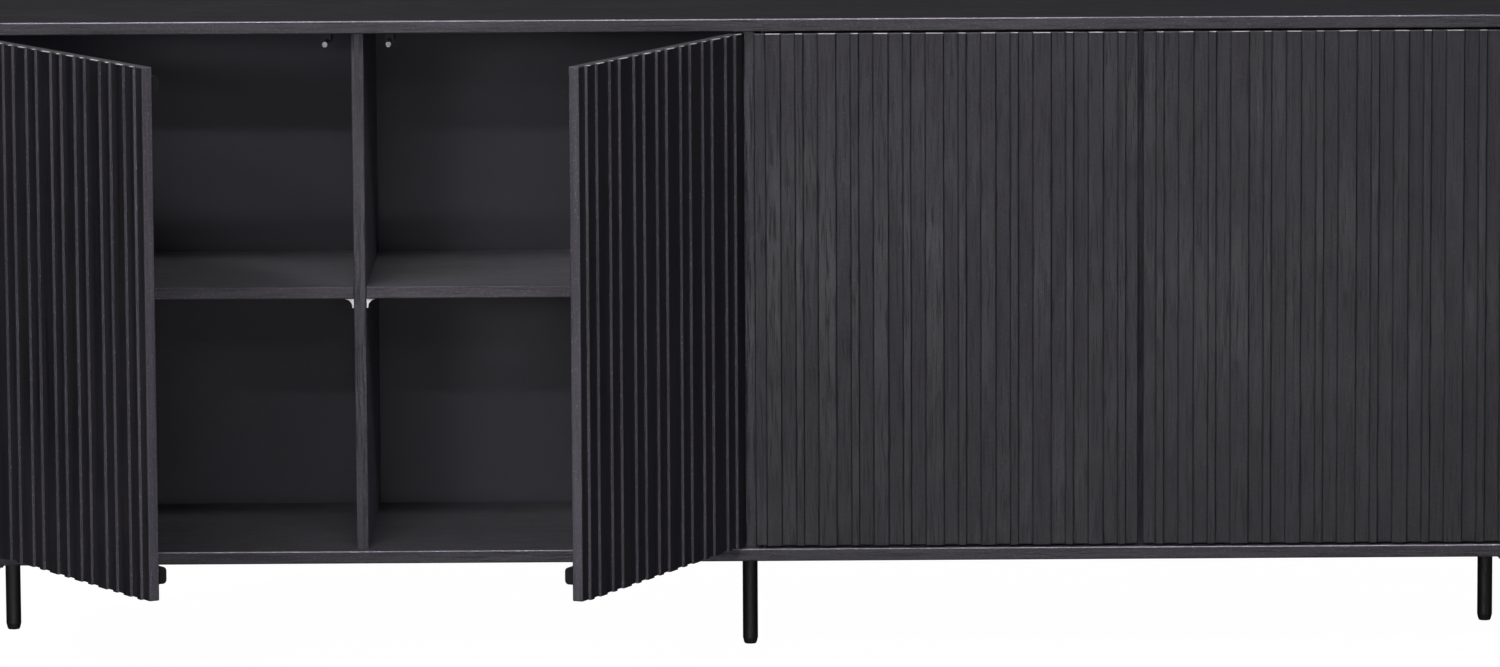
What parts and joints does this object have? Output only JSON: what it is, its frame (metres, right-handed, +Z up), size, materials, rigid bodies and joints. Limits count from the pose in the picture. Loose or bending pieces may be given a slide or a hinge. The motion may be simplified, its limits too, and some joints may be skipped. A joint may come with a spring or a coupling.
{
  "type": "sideboard buffet",
  "caption": "Long low sideboard with slatted hinged doors on push latches, open shelved bays behind them and slim tube legs.",
  "frame": {"origin": "on the floor, at the axis of the middle leg", "axes": "+X along the front to the right as seen from the front, +Y from the doors to the back, +Z up"},
  "size_m": [2, 0.8618, 0.84],
  "materials": {
    "carcass_wood": "black-stained, satin lacquer",
    "door_wood": "black-stained, satin lacquer",
    "slat_wood": "black-stained, satin lacquer",
    "back_board": "black-painted board, matt",
    "dowel_wood": "plain beech",
    "support_plastic": "moulded, satin",
    "stop_plastic": "moulded, satin",
    "bush_plastic": "moulded, smooth",
    "latch_plastic": "moulded, satin",
    "glide_plastic": "moulded, satin",
    "leg_metal": "black powder coat, fine texture",
    "plunger_steel": "bright plated",
    "strike_steel": "zinc-plated",
    "pin_steel": "turned, black oxide",
    "screw_steel": "zinc-plated"
  },
  "bodies": {
    "carcass": {"top_panel": "carcass_wood", "bottom_panel": "carcass_wood", "left_side_panel": "carcass_wood", "right_side_panel": "carcass_wood", "centre_partition": "carcass_wood", "left_divider": "carcass_wood", "right_divider": "carcass_wood", "left_back_panel": "back_board", "right_back_panel": "back_board", "shelf_1": "carcass_wood", "shelf_2": "carcass_wood", "shelf_3": "carcass_wood", "shelf_4": "carcass_wood", "dowels": "dowel_wood", "shelf_supports": "support_plastic", "pivot_pins": "pin_steel", "latch_screws": "screw_steel", "leg_screws": "screw_steel", "front_left_leg": "leg_metal", "front_right_leg": "leg_metal", "back_left_leg": "leg_metal", "back_right_leg": "leg_metal", "middle_leg": "leg_metal", "front_left_glide": "glide_plastic", "front_right_glide": "glide_plastic", "back_left_glide": "glide_plastic", "back_right_glide": "glide_plastic", "middle_glide": "glide_plastic", "door_1_latch_housing": "latch_plastic", "door_2_latch_housing": "latch_plastic", "door_3_latch_housing": "latch_plastic", "door_4_latch_housing": "latch_plastic"},
    "door_1": {"door_1_panel": "door_wood", "door_1_slats": "slat_wood", "door_1_top_stop": "stop_plastic", "door_1_bottom_stop": "stop_plastic", "door_1_strike_plate": "strike_steel", "door_1_bushes": "bush_plastic"},
    "door_1_plunger": {"door_1_latch_plunger": "plunger_steel"},
    "door_2": {"door_2_panel": "door_wood", "door_2_slats": "slat_wood", "door_2_top_stop": "stop_plastic", "door_2_bottom_stop": "stop_plastic", "door_2_strike_plate": "strike_steel", "door_2_bushes": "bush_plastic"},
    "door_2_plunger": {"door_2_latch_plunger": "plunger_steel"},
    "door_3": {"door_3_panel": "door_wood", "door_3_slats": "slat_wood", "door_3_top_stop": "stop_plastic", "door_3_bottom_stop": "stop_plastic", "door_3_strike_plate": "strike_steel", "door_3_bushes": "bush_plastic"},
    "door_3_plunger": {"door_3_latch_plunger": "plunger_steel"},
    "door_4": {"door_4_panel": "door_wood", "door_4_slats": "slat_wood", "door_4_top_stop": "stop_plastic", "door_4_bottom_stop": "stop_plastic", "door_4_strike_plate": "strike_steel", "door_4_bushes": "bush_plastic"},
    "door_4_plunger": {"door_4_latch_plunger": "plunger_steel"}
  },
  "joints": [
    {"name": "door_1_hinge", "type": "hinge", "parent": "carcass", "child": "door_1", "pos_m": [-0.97, -0.254, 0.495], "axis": [0, 0, -1], "range_deg": [-59.4, 34.6]},
    {"name": "door_1_plunger_slide", "type": "slide", "parent": "carcass", "child": "door_1_plunger", "axis": [0, -1, 0], "range_m": [-0.00926, 0.0054]},
    {"name": "door_2_hinge", "type": "hinge", "parent": "carcass", "child": "door_2", "pos_m": [-0.017, -0.254, 0.495], "axis": [0, 0, 1], "range_deg": [-65.4, 24.6]},
    {"name": "door_2_plunger_slide", "type": "slide", "parent": "carcass", "child": "door_2_plunger", "axis": [0, -1, 0], "range_m": [-0.01019, 0.00385]},
    {"name": "door_3_hinge", "type": "hinge", "parent": "carcass", "child": "door_3", "pos_m": [0.017, -0.254, 0.495], "axis": [0, 0, -1], "range_deg": [0, 90]},
    {"name": "door_3_plunger_slide", "type": "slide", "parent": "carcass", "child": "door_3_plunger", "axis": [0, -1, 0], "range_m": [0, 0.01402]},
    {"name": "door_4_hinge", "type": "hinge", "parent": "carcass", "child": "door_4", "pos_m": [0.97, -0.254, 0.495], "axis": [0, 0, 1], "range_deg": [0, 94]},
    {"name": "door_4_plunger_slide", "type": "slide", "parent": "carcass", "child": "door_4_plunger", "axis": [0, -1, 0], "range_m": [0, 0.01464]}
  ],
  "couplings": [
    {"joint": "door_1_plunger_slide", "follows": "door_1_hinge", "m_per_rad": 0.008913},
    {"joint": "door_2_plunger_slide", "follows": "door_2_hinge", "m_per_rad": 0.008913},
    {"joint": "door_3_plunger_slide", "follows": "door_3_hinge", "m_per_rad": 0.008913},
    {"joint": "door_4_plunger_slide", "follows": "door_4_hinge", "m_per_rad": 0.008913}
  ]
}
